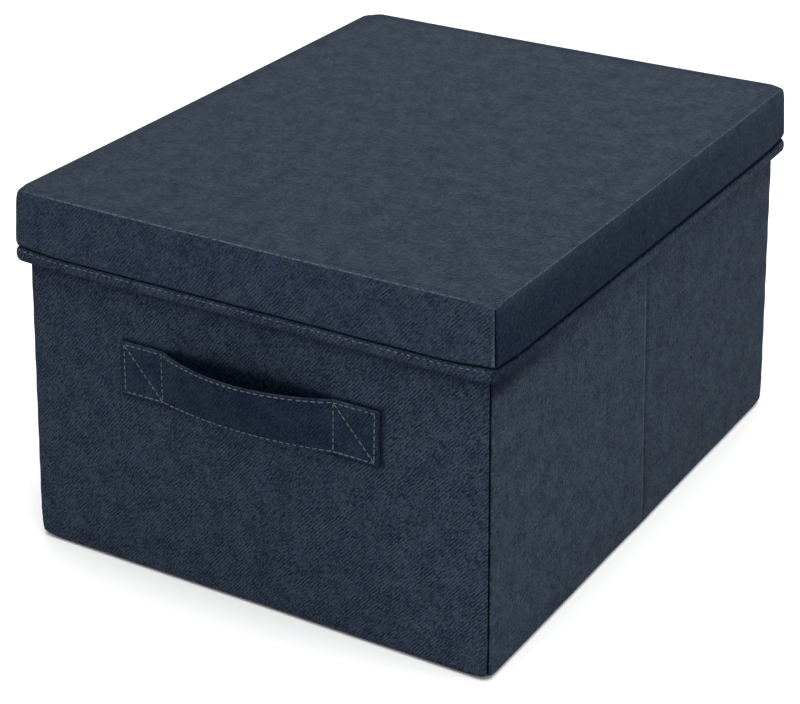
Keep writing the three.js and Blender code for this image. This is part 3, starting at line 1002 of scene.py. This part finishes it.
def topCloth():
    # curls down at the edge, and lies almost flat with a slow wave over the board
    curl = np.linspace(0, math.pi / 2, 5)
    inset = (0.15 + 1.1 * (1 - np.cos(curl)))[None, :]
    drop = lid["edgeDrop"] * (1 - np.sin(curl))
    rim = lidPlan(inset)
    sag = rim[..., 2].copy()
    rim[..., 2] = skirtTop - drop[None, :] - sag
    share = np.concatenate([np.linspace(0.997, 0.965, 10), np.linspace(0.94, 0.02, 38)])
    inner = rim[:, -1:, :] * share[None, :, None]
    wave = slowWave(inner[..., 0], inner[..., 1], lid["topWave"], 2.4) * (1 - share[None, :] ** 14)
    inner[..., 2] = skirtTop - sag[:, -1:] * share[None, :] ** 7 + wave
    points = topCorners(np.concatenate([rim, inner], 1))
    uv = np.concatenate([points[..., :2], points[:1, :, :2]])
    # painted shade standing for a shallow dip inside the edge seam, darker along the two short sides,
    # and a painted shade that grows towards the front of the top
    away = np.maximum(np.abs(points[..., 0]) - lidHalf[0], np.abs(points[..., 1]) - lidHalf[1])
    short = np.abs(points[..., 1]) - lidHalf[1] > np.abs(points[..., 0]) - lidHalf[0]
    dip = np.where(short, *lid["dipShade"]) * bell(away + lid["dipPlace"], np.where(short, *lid["dipWidth"]))
    shade = np.maximum(dip, lid["topFrontShade"] * (0.5 - points[..., 1] / (2 * lidHalf[1])))
    piece = gridPiece("lidTopCloth", points, uv, wrapRows=True, marks={"highlight": 0, "shade": shade})
    closeRing(piece, innermost(points))
    return thicken(piece, lid["cloth"])


dress(topCloth(), "lid", litTopLook, "outer_cloth", "lid_top_cover")


def ringTube(name, centre, normal, radius, marks, around=8):
    # a tube round a closed path: centre and its outward normal for each row
    angle = np.linspace(0, 2 * math.pi, around, endpoint=False)
    out = centre[:, None, :] + np.concatenate([
        normal[:, None, :] * np.cos(angle)[None, :, None] * radius,
        np.broadcast_to((np.sin(angle) * radius)[None, :, None], (len(centre), around, 1)),
    ], -1)
    run = runAlong(*centre.T)
    run = np.concatenate([run, run[-1:] + 3])
    girth = np.linspace(0, 2 * math.pi, around + 1) * radius
    uv = together(run[:, None], girth[None, :])
    return gridPiece(name, out, uv, wrapRows=True, wrapColumns=True, marks=marks)


# The rolled seam along the lid's top edge.
def edgeRoll():
    line = lidPlan(np.array([[0.5]]))[:, 0, :]
    following = np.roll(line, -1, 0) - np.roll(line, 1, 0)
    tangent = following[:, :2] / np.linalg.norm(following[:, :2], axis=1)[:, None]
    normal = np.stack([tangent[:, 1], -tangent[:, 0]], -1)
    line[:, 2] = skirtTop - 0.5 - line[:, 2]
    away = fromCorner(line)
    # painted highlight along the rolled edge, fainter near the corners and along the long sides
    highlight = (0.35 + 0.65 * step(away, 4, 40)) * (0.55 - 0.25 * np.abs(normal[:, 0]))
    line = topCorners(line)
    return ringTube("lidEdgeRoll", line, normal, lid["rollRadius"], {"highlight": highlight[:, None], "shade": 0})


dress(edgeRoll(), "lid", outerCloth, "outer_cloth")

lidLining = levelSheet("lidLining", underLid[:2], 2.0, underLid[2] - 0.05, liningThick, 0.04, 7.7)
dress(lidLining, "lid", liningCloth, "lining_cloth", "lid_top_lining")


# The lid's boards follow its cloth: the top one inside the sag of its edges, the others along the skirt.
def skirtBoard(side):
    height = np.linspace(skirtFoot + 4.0, skirtTop - 4.0, 12)[None, :]
    along = np.linspace(-1, 1, 40)[:, None] * (lidHalf[1 - sides[side][1]] - 5.5)
    out = lidFlare(height) - lid["cloth"] - lid["wave"]
    points = topCorners(sidePoints(side, lidHalf, along, out, height))
    piece = gridPiece("lid" + side.capitalize() + "Board", points, points[..., :2])
    return thicken(piece, lid["board"])


boardTop = skirtTop - lid["cloth"] - lid["topWave"] - lid["sag"]
topBoard = levelSheet("lidTopBoard", lidHalf - 3.2, 6.0, boardTop, lid["board"], 0, 1, topCorners)
dress(topBoard, "lid", greyBoard, "card", "lid_top_board")
for side in sides:
    dress(skirtBoard(side), "lid", greyBoard, "card", "lid_skirt_" + side + "_board")


# The hem below the skirt: one soft tube of cloth round the lid that bulges out and curls in below.
hem = {
    "round": 4.8, "bulge": 0.35, "outset": 1.2, "thick": 4.0, "back": 3.3, "square": 0.62, "wave": 0.25,
    # painted shade over the hem, more on the long sides and near their front corners
    "tone": 0.15, "sideShade": 0.22, "cornerShade": 65.0, "cornerShadeAdded": 0.28, "cornerLow": 0.24,
    # shade of the lower part: on the short sides, and what the long ones add to that
    "low": (0.5, -0.4), "lowest": (0.3, 0.2),
}


def hemSection():
    # outward place and height round the section, from inside the groove, out, down and back up inside
    top, foot = skirtFoot + 0.1, hemLow[2]
    turn = np.linspace(math.pi / 2, -math.pi / 2, 15)
    middle, high = (top + foot) / 2, (top - foot) / 2
    reach = hem["back"] + hem["bulge"] + hem["outset"]
    out = -hem["back"] + reach * np.abs(np.cos(turn)) ** hem["square"]
    rise = middle + high * np.sin(turn)
    inner = np.linspace(foot + 0.5, top - 0.5, 5)
    return np.concatenate([out, 0 * inner - hem["thick"]]), np.concatenate([rise, inner])


def hemTube():
    out, rise = hemSection()
    edge, normal = loopPlan(lidHalf, hem["round"], 60)
    run = runAlong(*edge.T)
    wave = hem["wave"] * (np.sin(run / 17) + 0.6 * np.sin(run / 7.3 + 1) + 0.4 * np.sin(run / 4.1 + 2))
    plan = edge[:, None, :] + normal[:, None, :] * out[None, :, None]
    lower = fall(rise, hemLow[2], skirtFoot)
    away = fromCorner(edge)
    height = rise[None, :] + wave[:, None] * 0.5 * lower[None, :] * (out > -3.9)[None, :]
    height = height + cornerLift(away)[:, None] * (1 - 0.7 * lower[None, :])
    points = np.concatenate([plan, height[..., None]], -1)[:, ::-1]
    girth = runAlong(out, rise)
    girth = -np.concatenate([girth, girth[-1:] + 2])[::-1]
    uv = together(np.concatenate([run, run[-1:] + 3])[:, None], girth[None, :])
    sideways = np.abs(normal[:, :1])
    # painted shade in the slit under the skirt, over the hem and its lower part, and near the front on the
    # long sides
    slit = np.where(rise > skirtFoot - 3, step(1.1 * sideways - out, 0.3, 1.2), 0)
    low = fall(rise, hemLow[2] + 0.2, hemLow[2] + 3.2)[None, :]
    lowest = fall(rise, hemLow[2] - 0.5, hemLow[2] + 1.4)[None, :]
    near = sideways * step(-edge[:, 1:2], -40, 130)
    lowShade, lowestShade = [first + added * sideways for first, added in (hem["low"], hem["lowest"])]
    under = hem["tone"] + hem["sideShade"] * near + lowShade * low + lowestShade * lowest
    corner = sideways * bell(edge[:, 1:2] + lidHalf[1], hem["cornerShade"])
    cornerShadeAdded = hem["cornerShadeAdded"] + hem["cornerLow"] * fall(rise, hemLow[2] + 2, skirtFoot - 1)
    under = under + corner * cornerShadeAdded
    shade = np.maximum(slit, under)[:, ::-1]
    return gridPiece("lidHem", points, uv, wrapRows=True, wrapColumns=True, marks={"highlight": 0, "shade": shade})


dress(
    hemTube(), "lid", outerCloth, "outer_cloth",
    "lid_hem_front", "lid_hem_rear", "lid_hem_right", "lid_hem_left",
)
print("lid made")


def strapPlace(along, across, lift):
    # along and across the strap, and lift above its back face. The middle bows out from the wall, more at
    # the top edge than at the bottom one, and sags.
    share = (across + strapWide) / (2 * strapWide)
    bow = strap["bowBottom"] + (strap["bowTop"] - strap["bowBottom"]) * share
    swing = bow * bowShare(along)
    slope = bow * (bowShare(along + 0.5) - bowShare(along - 0.5))
    turn = np.arctan(slope)
    height = strapCentre - strap["sag"] * bowShare(along) + across
    out = strap["gap"] + swing + lift * np.cos(turn)
    face = flareAt(height) * (1 - bowShare(along))
    x = along - lift * np.sin(turn)
    return sidePoints("front", bodyHalf, x, out + face, height)


def strapPiece():
    # a closed flat loop round the strap: front face, rolled edges and back face
    along = np.linspace(-strapHalf, strapHalf, 100)[:, None]
    across = np.linspace(-1, 1, strap["columns"])
    nearEdge = bell((1 - np.abs(across)) * strapWide, strap["thickReach"])
    frontLift = strap["thick"] + (strap["edgeThick"] - strap["thick"]) * nearEdge
    turned = np.clip((np.abs(across) - strap["rollFrom"]) / strap["rollOver"], 0, 1)
    rolled = np.sqrt(np.clip(1 - turned ** 2, 0, 1))
    frontLift = frontLift * (0.5 + 0.5 * rolled)
    backLift = 0.5 * strap["thick"] * (1 - rolled)
    v = np.concatenate([across, across[::-1][1:-1]]) * strapWide
    lift = np.concatenate([frontLift, backLift[::-1][1:-1]])
    onFront = (np.arange(len(v)) < strap["columns"])[None, :]
    wave = strap["wave"] * slowWave(along * 2.4, v[None, :] * 3, 1.0, 6.6) * onFront
    points = strapPlace(along, v[None, :], lift[None, :] + wave)
    girth = runAlong(v, lift)
    girth = np.concatenate([girth, girth[-1:] + 1])
    uv = together(along, girth[None, :])
    # painted highlight along the strap's edges, and painted shade over its middle where it bows out
    edge = bell(strapWide - np.abs(v), 1.0)[None, :] * strap["edgeHighlight"] + 0 * along
    shade = strap["middleShade"] * bowShare(along) ** 0.5 + 0 * edge
    marks = {"highlight": edge, "shade": shade}
    return gridPiece("handleStrap", points, uv, wrapColumns=True, marks=marks, caps=True)


dress(strapPiece(), "front_wall", strapCloth, "strap_cloth", "handle_strap")
print("strap made")


def stitches(name, start, end, lift, radius):
    # Each stitch is a short arched tube between two points: a hump along its length, thinner at its ends.
    along = np.linspace(0, 1, 6)
    angle = np.linspace(0, 2 * math.pi, 6, endpoint=False)
    run = end - start
    tangent = run / np.linalg.norm(run, axis=1)[:, None]
    side = np.cross(tangent, lift)
    thick = radius * np.array([0.35, 0.9, 1, 1, 0.9, 0.35])
    hump = radius * np.array([-0.9, 0.25, 0.6, 0.6, 0.25, -0.9])
    centre = start[:, None, :] + run[:, None, :] * along[None, :, None]
    centre = centre + lift[:, None, :] * hump[None, :, None]
    ring = (
        side[:, None, None, :] * np.cos(angle)[None, None, :, None]
        + lift[:, None, None, :] * np.sin(angle)[None, None, :, None]
    ) * thick[None, :, None, None]
    points = (centre[:, :, None, :] + ring).reshape(-1, 3)
    size = 36  # points of one stitch: six rings of six
    one = gridFaces(6, 6, wrapColumns=True)[0]
    caps = [range(6), range(size - 1, size - 7, -1)]
    first = np.arange(len(start)) * size
    faces = (one[None, :, :] + first[:, None, None]).reshape(-1, 4)[:, ::-1].tolist()
    faces += [[k + i for i in cap] for k in first.tolist() for cap in caps]
    return makeMesh(name, points, faces, sharp=0)


def alongLine(points, pitch, share, offset=0.2):
    # starts and ends of stitches along a line of points, at steps that vary a little
    run = runAlong(*points.T)
    count = int(run[-1] // pitch)
    uneven = np.random.default_rng(count).normal(0, threads["uneven"], (2, count))
    first = (np.arange(count) + offset + uneven[0]) * run[-1] / count
    last = first + pitch * (share + uneven[1])

    def pick(at):
        return np.stack([np.interp(at, run, part) for part in points.T], -1)

    return pick(first), pick(last)


threads = {
    "radius": 0.3, "strapRadius": 0.36, "hemPitch": 4.2, "hemShare": 0.66, "strapPitch": 3.8,
    "strapShare": 0.84, "sink": 0.42, "sideSink": 0.5, "inset": 1.7, "endInset": 2.2, "boxInset": 1.5,
    "above": 0.12, "hemLift": (0.85, 0.52), "uneven": 0.06,
}


def hemStitches():
    edge, normal = loopPlan(lidHalf, hem["round"], 120)
    out, rise = hemSection()
    spot = 4  # place on the section, just under the groove
    away = fromCorner(edge)
    level = rise[spot] + cornerLift(away)[:, None]
    line = np.concatenate([edge + normal * (out[spot] + 0.05), level], -1)
    line = np.concatenate([line, line[:1]])
    start, end = alongLine(line, threads["hemPitch"], threads["hemShare"])
    middle = (start + end)[:, :2] / 2
    spread = middle[:, None, :] - edge[None, :, :]
    nearest = np.argmin((spread ** 2).sum(-1), 1)
    outward, upward = threads["hemLift"]
    lift = np.concatenate([normal[nearest] * outward, np.full((len(start), 1), upward)], -1)
    # some stitches are drawn in deeper than others, most of them along the two long sides
    sunk = np.random.default_rng(7).uniform(0, threads["sink"], len(start))
    sunk = sunk + threads["sideSink"] * np.abs(normal[nearest, 0])
    start, end = start - lift * sunk[:, None], end - lift * sunk[:, None]
    return stitches("hemStitches", start, end, lift, threads["radius"])


dress(hemStitches(), "lid", sewingThread, "thread")


def strapStitches():
    # a line along each edge, and at each end a box with one diagonal
    high, far = strapWide - threads["inset"], strapHalf - threads["endInset"]
    near = strapFree + threads["boxInset"]
    long_ = np.linspace(-far, far, 300)
    lines = [np.stack([long_, np.full(300, sign * high)], -1) for sign in (-1, 1)]
    for left, right in ((-far, -near), (near, far)):
        box = (left, -high), (left, high), (right, -high), (right, high)
        lines += [np.linspace(box[i], box[j], 60) for i, j in ((0, 1), (2, 3), (1, 2))]
    pairs = []
    for line in lines:
        flat = np.concatenate([line, np.zeros((len(line), 1))], -1)
        pairs.append(alongLine(flat, threads["strapPitch"], threads["strapShare"]))
    first, last = [np.concatenate(points) for points in zip(*pairs)]
    level = strap["thick"] + threads["above"]
    middle = (first + last) / 2

    def onStrap(points, height):
        return strapPlace(points[:, 0], points[:, 1], height)

    lift = onStrap(middle, level + 1) - onStrap(middle, level)
    lift /= np.linalg.norm(lift, axis=1)[:, None]
    start, end = onStrap(first, level), onStrap(last, level)
    return stitches("strapStitches", start, end, lift, threads["strapRadius"])


dress(strapStitches(), "front_wall", sewingThread, "thread")
print("stitches made")


# The card boards keep their solids.
for name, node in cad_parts.items():
    if name.endswith("_board"):
        node.data.materials.clear()
        node.data.materials.append(greyBoard)
studio = {
    "floor": (0.92, 0.92, 0.92, 1), "world": 0.75, "lampSize": 2.4, "lampPower": 66.0,
    "lampPlace": (0.36, -0.2, 2.2), "lampAim": (0, 0, 0.1), "floorHalf": 4000.0,
}


def makeStage():
    points = np.array([(-1, -1, 0), (1, -1, 0), (1, 1, 0), (-1, 1, 0)]) * studio["floorHalf"]
    floor = makeMesh("floor", points, [[0, 1, 2, 3]], sharp=0)
    pale = newMaterial("paleFloor", {"Base Color": studio["floor"], "Roughness": 0.9})[0]
    floor.data.materials.append(pale)
    world = bpy.data.worlds.new("studio")
    world.use_nodes = True
    background = world.node_tree.nodes["Background"].inputs
    background["Color"].default_value = (1.0, 1.0, 1.0, 1)
    background["Strength"].default_value = studio["world"]
    bpy.context.scene.world = world
    lamp = bpy.data.lights.new("overhead", "AREA")
    lamp.size, lamp.energy = studio["lampSize"], studio["lampPower"]
    addAimed("overhead", lamp, studio["lampPlace"], studio["lampAim"])
    bpy.context.scene.view_settings.view_transform = "Standard"


makeStage()
print("floor and light made")
